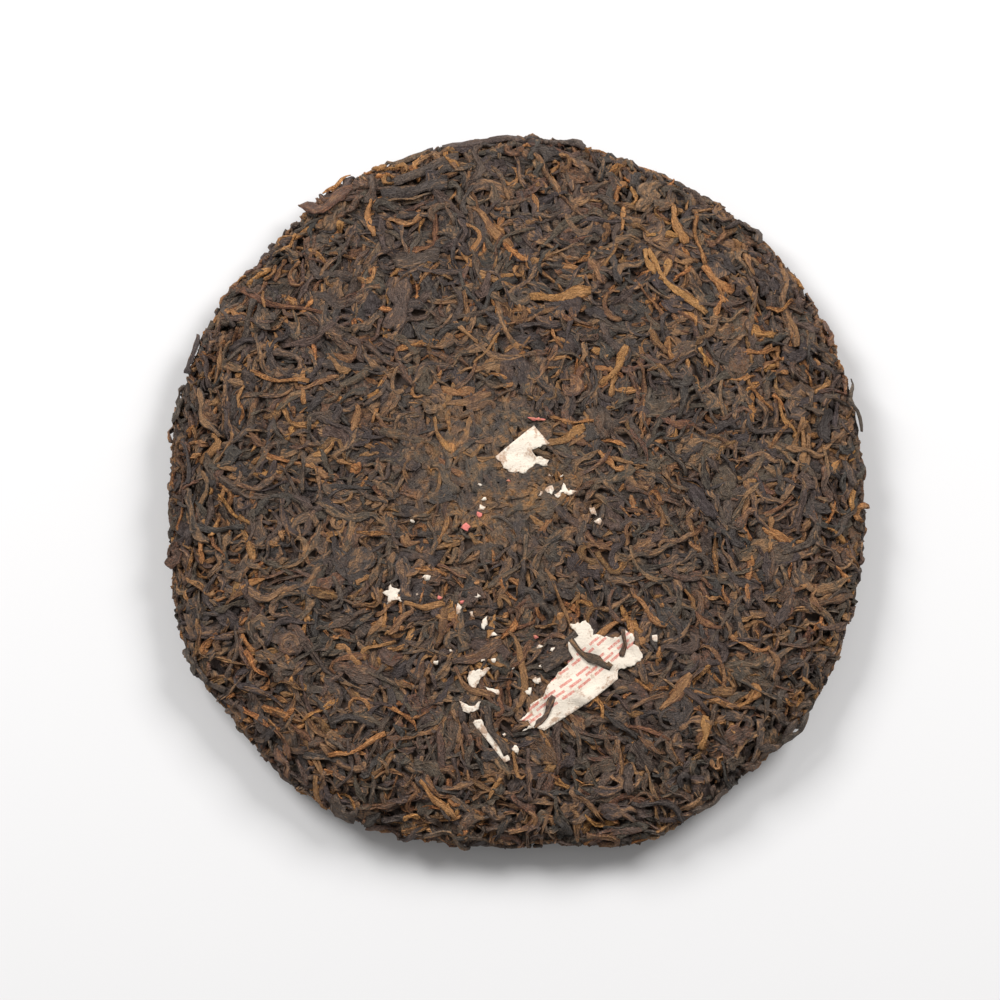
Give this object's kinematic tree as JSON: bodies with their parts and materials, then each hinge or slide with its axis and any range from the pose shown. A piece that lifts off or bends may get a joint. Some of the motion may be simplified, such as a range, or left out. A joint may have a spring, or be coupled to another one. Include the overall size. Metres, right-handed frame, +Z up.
{
  "type": "pu erh tea cake",
  "caption": "Round pressed cake of dark fermented tea leaves, lying face up, with torn scraps of its paper ticket stuck to the face.",
  "frame": {"origin": "the point on the surface it rests on, under the middle of the cake", "axes": "+Z up out of the shown face, +Y towards the far edge, +X to the right as the picture shows the face"},
  "size_m": [0.1985, 0.2019, 0.0237],
  "materials": {
    "tea": "dull dark brown leaf",
    "ticket": "thin stained rice paper"
  },
  "bodies": {
    "root": {"tea_cake": "tea", "paper_corner": "ticket", "paper_ticket": "ticket", "paper_strip": "ticket", "paper_hook": "ticket", "paper_tab": "ticket", "paper_chevron": "ticket", "paper_star": "ticket", "paper_wave": "ticket"}
  },
  "joints": []
}
